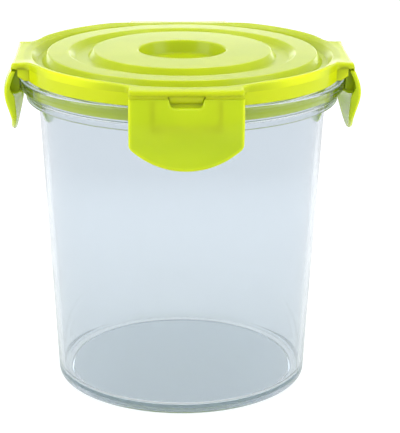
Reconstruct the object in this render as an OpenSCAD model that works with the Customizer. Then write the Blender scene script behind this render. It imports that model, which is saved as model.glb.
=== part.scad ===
// Round clip-lid keeper for pickles: a clear tapered container, a lid with four film-hinged clips
// and a gasket. Millimetres, +Z up, origin at the centre of the base, the first clip faces -Y.

/* [Container] */
// Outer radius of the wall at the base
base_r = 61.2; // [50:0.1:75]
// Outward lean of the wall, in degrees
wall_lean = 3; // [0:0.1:5]
// Thickness of the wall
wall_t = 2.4; // [1.6:0.1:3.5]
// Thickness of the floor
floor_t = 2.8; // [1.6:0.1:5]
// Radius of the outer bottom edge
base_round = 2.2; // [1:0.1:4]
// Radius of the inner corner between floor and wall
floor_round = 3; // [1:0.1:6]
// Height of the hollow inside the foot ring
foot_h = 1.2; // [0.6:0.1:2.5]
// Width of the flat ring that the container stands on
foot_w = 4; // [2:0.1:8]

/* [Collar] */
// Height of the lower edge of the collar
collar_z = 140.3; // [90:0.1:220]
// How far the collar stands out from the wall at its lower edge
collar_step = 5.75; // [4.5:0.05:9]
// Thickness of the collar's wall
collar_t = 2.8; // [2:0.1:4]
// Height of the collar below the flange
collar_h = 6; // [3:0.1:12]
// How far the flange stands out from the collar
flange_out = 2.6; // [1.5:0.1:4]
// Height of the flange
flange_h = 5.3; // [2.4:0.1:8]
// Radius of the flange's upper outer edge
flange_round = 1.5; // [0.4:0.1:1.5]
// Thickness of the lip above the flange
lip_t = 1.8; // [1.2:0.1:2.5]
// Height of the lip above the flange
lip_h = 3.8; // [2:0.1:5]

/* [Lid] */
// Thickness of the lid's panel and skirt
lid_t = 1.8; // [1.2:0.1:2.6]
// Height of the skirt
skirt_h = 8.5; // [7.5:0.1:14]
// Gap between the skirt's edge and the flange
seat_gap = 0.4; // [0.3:0.05:1]
// Radial gap between the lip and the lid on both sides
lip_gap = 0.5; // [0.35:0.05:1]
// Thickness of the plug wall
plug_t = 2.2; // [1.2:0.1:3]
// Gap between the plug wall's lower edge and the ledge inside the collar
plug_gap = 1.8; // [1.6:0.1:8]
// Width of the rim
rim_w = 4; // [3:0.1:5]
// Radius of the rim's outer edge
rim_round = 1; // [0.3:0.1:1.2]
// Height of the rim's crest above the tabs, midway between two tabs
rim_rise = 1.35; // [0.4:0.05:2]
// Height of the rim's crest above a tab, in front of the tab
rim_low = 0.15; // [0.05:0.05:0.4]
// Width over which the crest stays low in front of a tab
dip_w = 26; // [10:1:40]
// Length of the slope at each end of the low stretch
dip_slope = 24; // [12:1:30]

/* [Lid relief] */
// Depth of the outer groove below the rim
groove_depth = 3.2; // [1:0.1:4]
// Width of the outer groove's floor
groove_w = 2.4; // [1:0.1:4]
// Width of the outer groove's sloping outer wall
groove_wall = 2.6; // [1:0.1:4]
// Width of the slope from the outer groove up to the ring
ring_slope = 2.7; // [1:0.1:5]
// Height of the raised ring above the tabs
ring_rise = 1.05; // [0:0.05:2]
// Width of the raised ring's top
ring_w = 10; // [6:0.1:14]
// Width of the soft slope inside the ring
ring_inner_slope = 3; // [1:0.1:5]
// Height of the middle panel above the tabs
panel_rise = 1.7; // [0:0.1:3]
// Radius of the middle panel
panel_r = 42.2; // [30:0.1:44]
// Width of the sloping wall round the middle panel
panel_slope = 2.6; // [1:0.1:4]
// Depth of the inner groove below the middle panel
inner_groove_depth = 3.2; // [1:0.1:4]
// Radius of the dish in the middle
dish_r = 20.9; // [10:0.1:26]
// Depth of the dish
dish_depth = 6.2; // [1:0.1:7]
// Width of the dish's sloping wall
dish_wall = 1.6; // [0.6:0.1:5]

/* [Tabs and clips] */
// Width of a tab and its clip
clip_w = 50.5; // [38:0.1:56]
// How far the hinge face stands out from the skirt
tab_out = 4; // [3.2:0.1:6]
// Thickness of a tab
tab_t = 2.6; // [2.6:0.1:3.5]
// Radius of a tab's upper outer edge
tab_round = 2; // [0.5:0.1:2]
// Radius of the fillets between a tab and the skirt
tab_fillet = 4; // [2:0.1:6]
// Thickness of a clip's flap
flap_t = 2.4; // [1.6:0.1:3]
// How much thinner a flap is at its lower edge
flap_tip_thin = 0.2; // [0:0.1:1.2]
// Extra depth of a flap's thickened sides at its fullest height
flap_side_deep = 2.4; // [0.5:0.1:3]
// Width of a flap's thickened sides
flap_side_w = 3; // [2.5:0.1:5]
// Length of a flap below the hinge line
flap_len = 32.7; // [26:0.1:40]
// Plan radius of the arc at a flap's bottom
flap_arc_r = 36.4; // [30:0.1:60]
// Radius of a flap's lower corners
flap_corner = 4; // [2:0.1:8]
// How far a flap swells outwards at its fullest height
flap_bulge = 3.2; // [1.5:0.1:5]
// How far the middle of a flap bows out beyond its edges
flap_bow = 1.6; // [0:0.1:3]
// Depth of the flap's fullest height below the hinge line
flap_peak = 11; // [8:0.1:14]

/* [Film hinge] */
// Thickness of the film hinge
web_t = 0.5; // [0.3:0.05:0.8]
// Height of the film hinge between tab and flap
web_h = 1; // [0.8:0.1:1.4]
// Depth of the film hinge behind the hinge face
web_recess = 0.2; // [0.1:0.05:0.3]
// Chamfer on the edges of tab and flap in front of the film hinge
hinge_chamfer = 0.45; // [0.3:0.05:0.5]
// Width of the window at the hinge line
window_w = 15.5; // [8:0.1:20]
// Narrowing of the window on each side at its lower edge
window_taper = 1.1; // [0:0.1:3]
// Height of the window below the hinge line
window_h = 4; // [2:0.1:5]
// Radius of the window's lower corners
window_round = 1.7; // [0.4:0.1:2]
// Gap between a clip and the tongue in its window
tongue_gap = 0.3; // [0.2:0.05:0.5]
// Thickness of the tongue in a window
tongue_t = 1.2; // [0.8:0.1:1.6]
// Gap between a clip and the plate behind its window
plate_gap = 0.5; // [0.4:0.05:0.8]

/* [Catch] */
// Gap between the catch and the flange above it
catch_gap = 0.3; // [0.2:0.05:0.8]
// Reach of the catch lip under the flange
catch_bite = 1.9; // [0.8:0.1:2.2]
// Radial gap between the rigid part of the catch and the flange
catch_clear = 0.4; // [0.3:0.05:1]
// Height of the catch where it leaves the flap
catch_h = 1.9; // [1.2:0.1:3]
// Height of the catch lip's tip
catch_tip_h = 0.8; // [0.4:0.1:1.1]
// Size of the slope between the catch and the flap below it
catch_prop = 1.2; // [0.4:0.1:2]
// Width of the catch
catch_w = 31; // [22:0.1:34]
// Thickness of the ribs at the catch's ends
rib_t = 1.6; // [1:0.1:2.2]
// Gap between a rib and the flange
rib_clear = 0.3; // [0.2:0.05:0.6]

/* [Gasket] */
// Gap between the gasket and the top of the lip
gasket_gap = 0.3; // [0.2:0.05:0.6]
// Radial gap between the gasket and the channel's walls
gasket_side = 0.1; // [0.05:0.05:0.3]
// Chamfer along the gasket's lower edges
gasket_chamfer = 0.6; // [0.2:0.1:0.9]
// Chamfer in the channel's upper inner corner
channel_chamfer = 0.8; // [0.4:0.1:0.9]

/* [Hidden] */
$fn = 128;
LIME = [0.76, 0.86, 0.19];
CLEAR = [0.82, 0.89, 0.93, 0.45];
SILICONE = [0.90, 0.92, 0.88];

// Heights and radii of the container
function wall_r(z) = base_r + z * tan(wall_lean);
floor_z = foot_h + floor_t;
wall_in_shift = wall_t / cos(wall_lean);
collar_r = wall_r(collar_z) + collar_step;
flange_z = collar_z + collar_h;
flange_top = flange_z + flange_h;
collar_top_r = collar_r + collar_h * tan(wall_lean) * 2;
flange_r = collar_top_r + flange_out;
mouth_r = collar_r - collar_t;
lip_r = mouth_r + lip_t;
rim_z = flange_top + lip_h;
ledge_z = collar_z + wall_t;

// Heights and radii of the lid
skirt_z = flange_top + seat_gap;
lid_z = skirt_z + skirt_h;
skirt_in_r = lip_r + lip_gap;
skirt_r = skirt_in_r + lid_t;
plug_r = mouth_r - lip_gap;
plug_in_r = plug_r - plug_t;
channel_z = lid_z - lid_t;
rim_in_r = skirt_r - rim_w;
crest_r = skirt_r - rim_round;
groove_out_r = rim_in_r - groove_wall;
groove_in_r = groove_out_r - groove_w;
groove_z = lid_z - groove_depth;
ring_z = lid_z + ring_rise;
ring_out_r = groove_in_r - ring_slope;
ring_in_r = ring_out_r - ring_w;
panel_z = lid_z + panel_rise;
inner_groove_z = panel_z - inner_groove_depth;
dish_z = panel_z - dish_depth;
plug_z = ledge_z + plug_gap;

// Places of the hinge, the flap and the catch
hinge_d = skirt_r + tab_out;
tab_z = lid_z - tab_t;
hinge_z = tab_z - web_h / 2;
half_w = clip_w / 2;
flap_fall = 15;
bow_ramp = 12;
thin_from = 18;
arc_z = hinge_z - flap_len + flap_arc_r;
corner_x = half_w - flap_corner;
corner_z = arc_z - sqrt(pow(flap_arc_r - flap_corner, 2) - pow(corner_x, 2));
corner_join = corner_x * flap_arc_r / (flap_arc_r - flap_corner);
catch_z = flange_z - catch_gap;
catch_low_z = catch_z - catch_h;
prop_z = catch_low_z - catch_prop;
root_d = flange_r + catch_clear;
tip_d = flange_r - catch_bite;
rib_x = catch_w / 2 - rib_t;
rib_d = sqrt(flange_r * flange_r - rib_x * rib_x) + rib_clear;
fitting_z = skirt_z + seat_gap;
quarter_turns = [0:90:270];

// Distance of the flap's outer face from the axis, t below the hinge line, at the flap's edge
function swell(t) =
    t < flap_peak ? sin(90 * t / flap_peak) :
    t < flap_peak + flap_fall ? (1 + cos(180 * (t - flap_peak) / flap_fall)) / 2 : 0;
function ease(a, b, v) = let (s = min(1, max(0, (v - a) / (b - a)))) s * s * (3 - 2 * s);
function groove_cut(t) = max(0, hinge_chamfer - (t - web_h / 2));
function flap_d(x, t) =
    hinge_d + flap_bulge * swell(t) + flap_bow * ease(0, bow_ramp, t) * (1 - pow(x / half_w, 2))
    - groove_cut(t);

// Distance of the flap's inner face from the axis: it is thin at the tip and thick at the sides
function side_depth(x, t) =
    flap_side_deep * swell(t) * ease(flap_peak - 3, flap_peak + 2.5, t)
    * ease(half_w - flap_side_w - 1, half_w - flap_side_w + 0.5, abs(x));
function flap_back_d(x, t) =
    flap_d(x, t) + groove_cut(t) - flap_t + flap_tip_thin * ease(thin_from, flap_len, t)
    - side_depth(x, t);

// Distance of the catch root's back, sunk into the flap at the height z
function root_back_d(z) = flap_d(catch_w / 2, hinge_z - z) - flap_t / 4;

// Height of the flap's lower edge at a distance x from its middle
function flap_end_z(x) =
    abs(x) < corner_join ? arc_z - sqrt(pow(flap_arc_r, 2) - x * x)
    : corner_z - sqrt(max(0, pow(flap_corner, 2) - pow(abs(x) - corner_x, 2)));

// Sideways shift of a mitred corner where a flat of the panel meets a slope
function mitre(run, rise) = lid_t * tan(atan2(rise, run) / 2);

// Points of an arc about (x, z), from angle a0 to a1
function arc(x, z, r, a0, a1, steps = 6) =
    [for (i = [0:steps]) let (a = a0 + (a1 - a0) * i / steps) [x + r * cos(a), z + r * sin(a)]];

// Clear moulding, turned from one profile
module container() {
    edge_r = wall_r(base_round) - base_round;
    inner_r = wall_r(floor_z) - wall_in_shift - floor_round;
    foot_r = edge_r - foot_w;
    color(CLEAR) rotate_extrude() polygon(concat(
        [[0, foot_h], [foot_r - foot_h, foot_h], [foot_r, 0]],
        arc(edge_r, base_round, base_round, -90, 0),
        [[wall_r(collar_z - 0.8), collar_z - 0.8], [collar_r - 0.6, collar_z], [collar_r, collar_z + 0.5]],
        [[collar_top_r, flange_z], [flange_r - 0.4, flange_z], [flange_r, flange_z + 0.4]],
        arc(flange_r - flange_round, flange_top - flange_round, flange_round, 0, 90),
        [[lip_r, flange_top]],
        [[lip_r, rim_z - 0.4], [lip_r - 0.4, rim_z], [mouth_r + 0.4, rim_z], [mouth_r, rim_z - 0.4]],
        [[mouth_r, ledge_z + 1.6], [mouth_r - 1.4, ledge_z + 0.3]],
        [[wall_r(ledge_z) - wall_in_shift + 0.6, ledge_z]],
        [[wall_r(ledge_z - 0.6) - wall_in_shift, ledge_z - 0.6]],
        arc(inner_r, floor_z + floor_round, floor_round, 0, -90),
        [[0, floor_z]]
    ));
}

// Lid without its tabs, turned from one profile
module lid_body() {
    dish_shift = mitre(dish_wall, dish_depth);
    panel_shift = mitre(panel_slope, inner_groove_depth);
    inner_shift = mitre(ring_inner_slope, ring_z - inner_groove_z);
    ring_shift = mitre(ring_slope, ring_z - groove_z);
    top = concat(
        [[0, dish_z], [dish_r - dish_wall, dish_z], [dish_r, panel_z]],
        [[panel_r, panel_z], [panel_r + panel_slope, inner_groove_z]],
        [[ring_in_r - ring_inner_slope, inner_groove_z], [ring_in_r, ring_z]],
        [[ring_out_r, ring_z], [groove_in_r, groove_z], [groove_out_r, groove_z]],
        [for (s = [0:0.25:0.75])
            [rim_in_r + (crest_r - rim_in_r) * s, lid_z + rim_rise * sin(90 * s)]],
        arc(crest_r, lid_z + rim_rise - rim_round, rim_round, 90, 0),
        [[skirt_r, skirt_z]]
    );
    under = [
        [skirt_in_r, skirt_z], [skirt_in_r, channel_z],
        [plug_r + channel_chamfer, channel_z], [plug_r, channel_z - channel_chamfer],
        [plug_r, plug_z], [plug_in_r, plug_z], [plug_in_r, groove_z - lid_t],
        [groove_in_r - ring_shift, groove_z - lid_t],
        [ring_out_r - ring_shift, ring_z - lid_t], [ring_in_r + inner_shift, ring_z - lid_t],
        [ring_in_r - ring_inner_slope + inner_shift, inner_groove_z - lid_t],
        [panel_r + panel_slope - panel_shift, inner_groove_z - lid_t],
        [panel_r - panel_shift, panel_z - lid_t], [dish_r + dish_shift, panel_z - lid_t],
        [dish_r - dish_wall + dish_shift, dish_z - lid_t], [0, dish_z - lid_t]
    ];
    rotate_extrude() polygon(concat(top, under));
}

// Cutter that lowers the rim's crest in front of a tab
module rim_dip() {
    low_x = dip_w / 2;
    high_x = low_x + dip_slope;
    low_z = lid_z + rim_low;
    high_z = lid_z + rim_rise;
    difference() {
        translate([0, -rim_in_r / 2, 0]) rotate([90, 0, 0]) linear_extrude(skirt_r)
            polygon([
                [-low_x, low_z], [low_x, low_z], [high_x, high_z],
                [high_x, high_z + 1], [-high_x, high_z + 1], [-high_x, high_z]
            ]);
        cylinder(h = high_z + 2, r = rim_in_r - 1);
    }
}

// Shelf that stands out from the skirt and carries a clip
module tab() {
    difference() {
        translate([-half_w, 0, 0]) rotate([90, 0, 90]) linear_extrude(clip_w) polygon(concat(
            [[-skirt_r + 8, tab_z], [-hinge_d + hinge_chamfer, tab_z]],
            [[-hinge_d, tab_z + hinge_chamfer]],
            arc(-hinge_d + tab_round, lid_z - tab_round, tab_round, 180, 90),
            [[-skirt_r + 8, lid_z]]
        ));
        cylinder(h = lid_z + 1, r = skirt_r - lid_t / 2);
    }
}

// Fillet between the side of a tab and the round of the skirt
module tab_side_fillet() {
    y = half_w + tab_fillet;
    d = sqrt(pow(skirt_r + tab_fillet, 2) - y * y);
    root_r = skirt_r - lid_t / 2;
    inward = root_r / (skirt_r + tab_fillet);
    translate([0, 0, tab_z]) difference() {
        linear_extrude(tab_t) polygon([
            [half_w - 1, -d], [half_w - 1, -sqrt(pow(root_r, 2) - pow(half_w - 1, 2))],
            [y * inward, -d * inward], [y, -d]
        ]);
        translate([y, -d, -1]) cylinder(h = tab_t + 2, r = tab_fillet);
    }
}

// Tongue under a tab, leaning back from the hinge line, that fills the clip's window
module tongue() {
    low = window_w / 2 - window_taper - window_round / 4 - tongue_gap;
    lean = tab_out / 4;
    front_d = hinge_d - web_recess;
    intersection() {
        translate([-window_w / 2, 0, 0]) rotate([90, 0, 90]) linear_extrude(window_w) polygon([
            [-front_d, tab_z + 0.6], [-front_d + lean, fitting_z],
            [-front_d + lean + tongue_t, fitting_z], [-front_d + tongue_t, tab_z + 0.6]
        ]);
        translate([0, -hinge_d + tab_out, 0]) rotate([90, 0, 0]) linear_extrude(tab_out) polygon([
            [-low, hinge_z - window_h], [-low, fitting_z], [low, fitting_z], [low, hinge_z - window_h],
            [window_w / 2 - tongue_gap, tab_z], [window_w / 2 - tongue_gap, lid_z],
            [tongue_gap - window_w / 2, lid_z], [tongue_gap - window_w / 2, tab_z]
        ]);
    }
}

// Plate under a tab that closes the window from behind, shaped to the flap's inner face
module plate() {
    w = window_w / 2 + 1;
    steps = 6;
    fall = hinge_z - fitting_z;
    translate([-w, 0, 0]) rotate([90, 0, 90]) linear_extrude(2 * w) polygon(concat(
        [[plate_gap - flap_back_d(w, 0), tab_z + 0.4]],
        [for (i = [0:steps]) [plate_gap - flap_back_d(w, fall * i / steps), hinge_z - fall * i / steps]],
        [[-skirt_r + 0.5, fitting_z], [-skirt_r + 0.5, tab_z + 0.4]]
    ));
}

// Cheek under a tab, inside the clip's rib
module cheek() {
    y = rib_d - catch_clear;
    root = sqrt(pow(skirt_r - lid_t / 2, 2) - pow(catch_w / 2, 2));
    translate([rib_x, -y, fitting_z]) cube([rib_t, y - root, tab_z + 0.4 - fitting_z]);
}

module lid() {
    color(LIME) union() {
        difference() {
            lid_body();
            for (turn = quarter_turns) rotate([0, 0, turn]) rim_dip();
        }
        for (turn = quarter_turns) rotate([0, 0, turn]) {
            tab();
            tongue();
            plate();
            for (side = [0, 1]) mirror([side, 0, 0]) {
                tab_side_fillet();
                cheek();
            }
        }
    }
}

module gasket() {
    r0 = plug_r + gasket_side;
    r1 = skirt_in_r - gasket_side;
    z0 = rim_z + gasket_gap;
    color(SILICONE) rotate_extrude() polygon([
        [r0 + channel_chamfer, channel_z], [r0, channel_z - channel_chamfer],
        [r0, z0 + gasket_chamfer], [r0 + gasket_chamfer, z0],
        [r1 - gasket_chamfer, z0], [r1, z0 + gasket_chamfer], [r1, channel_z]
    ]);
}

// Curved flap as a closed skin over a grid of columns and rows, facing -Y
module flap() {
    columns = 18;
    rows = 22;
    xs = [for (i = [0:columns]) half_w * sin(180 * i / columns - 90)];
    top_z = hinge_z - web_h / 2;
    function row_z(x, j) =
        j == 0 ? top_z
        : let (z1 = top_z - hinge_chamfer) z1 + (flap_end_z(x) - z1) * (j - 1) / (rows - 1);
    outer = [for (x = xs) for (j = [0:rows]) let (z = row_z(x, j)) [x, -flap_d(x, hinge_z - z), z]];
    inner = [for (x = xs) for (j = [0:rows]) let (z = row_z(x, j)) [x, -flap_back_d(x, hinge_z - z), z]];
    n = (columns + 1) * (rows + 1);
    function at(i, j) = i * (rows + 1) + j;
    skins = [for (i = [0:columns - 1]) for (j = [0:rows - 1])
        let (a = at(i, j), b = at(i + 1, j), c = at(i + 1, j + 1), d = at(i, j + 1))
        each [[a, b, c], [a, c, d], [n + a, n + c, n + b], [n + a, n + d, n + c]]];
    ends = [for (i = [0:columns - 1])
        let (a = at(i, 0), b = at(i + 1, 0), c = at(i + 1, rows), d = at(i, rows))
        each [[a, n + a, n + b], [a, n + b, b], [d, c, n + c], [d, n + c, n + d]]];
    sides = [for (j = [0:rows - 1])
        let (a = at(0, j), b = at(0, j + 1), c = at(columns, j), d = at(columns, j + 1))
        each [[a, b, n + b], [a, n + b, n + a], [c, n + c, n + d], [c, n + d, d]]];
    polyhedron(points = concat(outer, inner), faces = concat(skins, ends, sides));
}

// Window below the hinge line, open at the top
module window() {
    low = window_w / 2 - window_taper;
    r = window_round;
    translate([0, -hinge_d + flap_t + 3, hinge_z]) rotate([90, 0, 0]) linear_extrude(12)
        polygon(concat(
            [[window_w / 2, 1], [window_w / 2, 0]],
            arc(low - r, r - window_h, r, 0, -90),
            arc(r - low, r - window_h, r, -90, -180),
            [[-window_w / 2, 0], [-window_w / 2, 1]]
        ));
}

// Rigid root of the catch, propped by a slope against the flap
module catch_root() {
    side_x = catch_w / 2;
    translate([-side_x, 0, 0]) rotate([90, 0, 90]) linear_extrude(catch_w) polygon([
        [-root_d, catch_z], [-root_d, catch_low_z],
        [catch_prop - flap_back_d(side_x, hinge_z - catch_low_z), catch_low_z],
        [-flap_back_d(side_x, hinge_z - prop_z), prop_z],
        [-root_back_d(prop_z), prop_z], [-root_back_d(catch_z), catch_z]
    ]);
}

// Rib that joins an end of the catch to the flap and stiffens the flap beside the flange
module rib() {
    high_z = hinge_z - web_h - catch_clear;
    translate([rib_x, 0, 0]) rotate([90, 0, 90]) linear_extrude(rib_t) polygon([
        [-rib_d, flange_z], [-rib_d, high_z], [-root_back_d(high_z), high_z],
        [-root_back_d(flange_z), flange_z]
    ]);
}

module clip() {
    color(LIME) union() {
        difference() {
            flap();
            window();
        }
        catch_root();
        rib();
        mirror([1, 0, 0]) rib();
    }
}

// The two webs of a film hinge, one on each side of the window
module film_hinge() {
    start = window_w / 2 + 0.4;
    stop = half_w - 0.5;
    color(LIME) for (x = [-stop, start])
        translate([x, -hinge_d + web_recess, hinge_z - web_h / 2])
            cube([stop - start, web_t, web_h]);
}

// Snap lip that reaches under the flange
module catch_lip() {
    color(LIME) translate([-catch_w / 2, 0, 0]) rotate([90, 0, 90]) linear_extrude(catch_w) polygon([
        [-root_d, catch_z], [-tip_d, catch_z],
        [-tip_d, catch_z - catch_tip_h], [-root_d, catch_low_z]
    ]);
}

container();
lid();
gasket();
clip();  // clip_front
rotate([0, 0, 90]) clip();  // clip_right
rotate([0, 0, 180]) clip();  // clip_back
rotate([0, 0, 270]) clip();  // clip_left
film_hinge();  // film_hinge_front
rotate([0, 0, 90]) film_hinge();  // film_hinge_right
rotate([0, 0, 180]) film_hinge();  // film_hinge_back
rotate([0, 0, 270]) film_hinge();  // film_hinge_left
catch_lip();  // catch_lip_front
rotate([0, 0, 90]) catch_lip();  // catch_lip_right
rotate([0, 0, 180]) catch_lip();  // catch_lip_back
rotate([0, 0, 270]) catch_lip();  // catch_lip_left
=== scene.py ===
import math

import bmesh
import bpy
from mathutils import Matrix, Vector


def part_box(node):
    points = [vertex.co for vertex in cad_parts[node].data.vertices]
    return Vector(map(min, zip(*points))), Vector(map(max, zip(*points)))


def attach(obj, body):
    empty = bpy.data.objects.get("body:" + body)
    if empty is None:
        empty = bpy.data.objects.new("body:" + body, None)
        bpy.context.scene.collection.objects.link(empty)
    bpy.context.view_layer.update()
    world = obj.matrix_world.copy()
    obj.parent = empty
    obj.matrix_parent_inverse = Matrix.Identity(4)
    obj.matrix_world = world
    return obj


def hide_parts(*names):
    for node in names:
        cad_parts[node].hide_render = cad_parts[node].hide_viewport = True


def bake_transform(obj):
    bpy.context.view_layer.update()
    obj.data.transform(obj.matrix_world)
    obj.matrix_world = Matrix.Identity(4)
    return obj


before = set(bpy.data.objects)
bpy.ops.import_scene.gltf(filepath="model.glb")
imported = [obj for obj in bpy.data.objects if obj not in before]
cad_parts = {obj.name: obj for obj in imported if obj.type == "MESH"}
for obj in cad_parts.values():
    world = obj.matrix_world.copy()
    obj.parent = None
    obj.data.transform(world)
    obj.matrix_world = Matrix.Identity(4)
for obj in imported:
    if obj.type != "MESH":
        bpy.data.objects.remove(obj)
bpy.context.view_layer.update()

# Looks of a round clip-lid food keeper: a clear tapered container and a lime lid with four side clips.
# Sizes are in millimetres and angles in degrees, unless a comment says otherwise, and the sizes match
# the CAD model's own.
MM = 0.001
SIDES = {"front": 0, "right": 90, "back": 180, "left": 270}

# Container
BASE_R = 61.2
LEAN = math.tan(math.radians(3))
WALL_T = 2.4
FLOOR_T = 2.8
FOOT_H = 1.2
FOOT_W = 4
BASE_ROUND = 2.2
FLOOR_ROUND = 3
LEDGE_ROUND = 1.6
COLLAR_Z = 140.3
COLLAR_STEP = 5.75
COLLAR_T = 2.8
COLLAR_H = 6
FLANGE_OUT = 2.6
FLANGE_H = 5.3
FLANGE_ROUND = 1.5
LIP_T = 1.8
FINE_ROUND = 0.3
EDGE_ROUND = 0.5
COLLAR_FILLET = 0.8
RIM_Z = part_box("container")[1].z / MM

# Lid
LID_T = 1.8
SKIRT_H = 8.5
SEAT_GAP = 0.4
LIP_GAP = 0.5
PLUG_T = 2.2
PLUG_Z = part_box("lid")[0].z / MM
RIM_W = 4
RIM_ROUND = 1
RIM_RISE = 1.35
RIM_LOW = 0.15
RIM_DIP_HALF_ANGLE = 10
RIM_FULL_ANGLE = 30
GROOVE_WALL = 2.6
GROOVE_W = 2.4
GROOVE_DEPTH = 3.2
RING_SLOPE = 2.7
RING_RISE = 1.05
RING_W = 10
RING_INNER_SLOPE = 3
PANEL_RISE = 1.7
PANEL_R = 42.2
PANEL_SLOPE = 2.6
INNER_GROOVE_DEPTH = 3.2
DISH_R = 20.9
DISH_DEPTH = 6.2
DISH_WALL = 1.6
TOP_ROUND = 0.9
UNDER_ROUND = 0.8

# Tabs and clips
HALF_W = 25.25
TAB_OUT = 4
TAB_T = 2.6
TAB_ROUND = 2.1
TAB_LIFT = 0.3
TAB_FILLET = 4
TAB_CORNER = 2
TAB_BLEND = 2.5
FLAP_T = 2.4
FLAP_TIP_THIN = 0.2
FLAP_THIN_FROM = 18
FLAP_TIP_ROUND = 1.1
FLAP_TIP_ROUND_FROM = 20
FLAP_TIP_ROUND_FULL = 30
FLAP_SIDE_DEEP = 2.4
FLAP_SIDE_W = 3
FLAP_SIDE_FROM = 8
FLAP_SIDE_FULL = 13.5
FLAP_LEN = 32.7
FLAP_ARC_R = 36.4
FLAP_CORNER = 4
FLAP_ROUND = 1.2
FLAP_BULGE = 3.2
FLAP_BOW = 1.6
FLAP_PEAK = 11
FLAP_FALL = 15
BOW_RAMP = 12
HINGE_ROUND = 0.5
WEB_H = 1
WEB_T = 0.5
WEB_RECESS = 0.03
WEB_WAIST = 0.06
WEB_WINDOW_GAP = 0.4
WEB_SIDE_GAP = 0.5
WINDOW_HALF = 7.75
WINDOW_TAPER = 1.1
WINDOW_H = 4
WINDOW_ROUND = 1.7
CATCH_W = 31
CATCH_GAP = 0.3
CATCH_BITE = 1.9
CATCH_CLEAR = 0.4
RIB_CLEAR = 0.3
CATCH_H = 1.9
CATCH_TIP_H = 0.8
CATCH_PROP = 1.2
CATCH_SINK = 0.4
RIB_T = 1.6
RIB_TOP_GAP = 1.4
CHEEK_GAP = 0.3
CHEEK_T = 1.6
CHEEK_PAST = 0.5
GUSSET_X = 23.65
GUSSET_T = 1.6
GUSSET_D = 76.6
GUSSET_SINK = 0.8
GUSSET_FOOT = 2.5
GUSSET_FOOT_H = 2.2
GUSSET_ROUND = 0.6
TONGUE_T = 1.2
TONGUE_GAP = 0.06
TONGUE_BACK = 0.4
TONGUE_LEAN = 1.3
TONGUE_RAISE = 0.6
PLATE_PAST = 1
PLATE_BACK = 0.35
FITTING_SINK = 0.4


def wall_r(z):
    """Outer radius of the container's wall at the height z."""
    return BASE_R + z * LEAN


# Derived radii and heights
FLOOR_Z = FOOT_H + FLOOR_T
COLLAR_R = wall_r(COLLAR_Z) + COLLAR_STEP
FLANGE_Z = COLLAR_Z + COLLAR_H
FLANGE_TOP = FLANGE_Z + FLANGE_H
COLLAR_TOP_R = COLLAR_R + COLLAR_H * LEAN * 2
FLANGE_R = COLLAR_TOP_R + FLANGE_OUT
MOUTH_R = COLLAR_R - COLLAR_T
LIP_R = MOUTH_R + LIP_T
LEDGE_Z = COLLAR_Z + WALL_T
SKIRT_Z = FLANGE_TOP + SEAT_GAP
LID_Z = SKIRT_Z + SKIRT_H
SKIRT_IN_R = LIP_R + LIP_GAP
SKIRT_R = SKIRT_IN_R + LID_T
PLUG_R = MOUTH_R - LIP_GAP
PLUG_IN_R = PLUG_R - PLUG_T
CHANNEL_Z = LID_Z - LID_T
RIM_IN_R = SKIRT_R - RIM_W
CREST_R = SKIRT_R - RIM_ROUND
GROOVE_OUT_R = RIM_IN_R - GROOVE_WALL
GROOVE_IN_R = GROOVE_OUT_R - GROOVE_W
GROOVE_Z = LID_Z - GROOVE_DEPTH
RING_Z = LID_Z + RING_RISE
RING_OUT_R = GROOVE_IN_R - RING_SLOPE
RING_IN_R = RING_OUT_R - RING_W
PANEL_Z = LID_Z + PANEL_RISE
INNER_GROOVE_Z = PANEL_Z - INNER_GROOVE_DEPTH
DISH_Z = PANEL_Z - DISH_DEPTH
TAB_Z = LID_Z - TAB_T
HINGE_D = SKIRT_R + TAB_OUT
HINGE_Z = TAB_Z - WEB_H / 2
FLAP_TOP = HINGE_Z - WEB_H / 2
CATCH_Z = FLANGE_Z - CATCH_GAP
RIB_X = CATCH_W / 2 - RIB_T
RIB_D = math.sqrt(FLANGE_R ** 2 - RIB_X ** 2) + RIB_CLEAR
SKIRT_AT_RIB = math.sqrt(SKIRT_R ** 2 - RIB_X ** 2)


# Outlines

def arc(x, y, radius, start, end, steps):
    """Points of an arc about (x, y), with its angles in degrees."""
    angles = [math.radians(start + (end - start) * i / steps) for i in range(steps + 1)]
    return [Vector((x + radius * math.cos(a), y + radius * math.sin(a))) for a in angles]


def rounded(corners, closed=True, steps=6):
    """Outline through corners (x, y, radius), with an arc in place of each corner."""
    outline = []
    last = len(corners) - 1
    for i, (x, y, radius) in enumerate(corners):
        here = Vector((x, y))
        if radius == 0 or (not closed and i in (0, last)):
            outline.append(here)
            continue
        to_before = Vector(corners[i - 1][:2]) - here
        to_after = Vector(corners[(i + 1) % len(corners)][:2]) - here
        half = to_before.angle(to_after) / 2
        reach = min(radius / math.tan(half), 0.49 * to_before.length, 0.49 * to_after.length)
        middle = (to_before.normalized() + to_after.normalized()).normalized()
        centre = here + middle * reach / math.cos(half)
        first = here + to_before.normalized() * reach - centre
        sweep = first.angle_signed(here + to_after.normalized() * reach - centre)
        for k in range(steps + 1):
            outline.append(centre + Matrix.Rotation(-sweep * k / steps, 2) @ first)
    return outline


def outward(outline):
    """Unit normals of a closed outline that runs anticlockwise."""
    normals = []
    for i in range(len(outline)):
        along = outline[(i + 1) % len(outline)] - outline[i - 1]
        normals.append(Vector((along.y, -along.x)).normalized())
    return normals


# Meshes

SAME_POINT = 1e-4
NO_LENGTH = 1e-5


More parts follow.
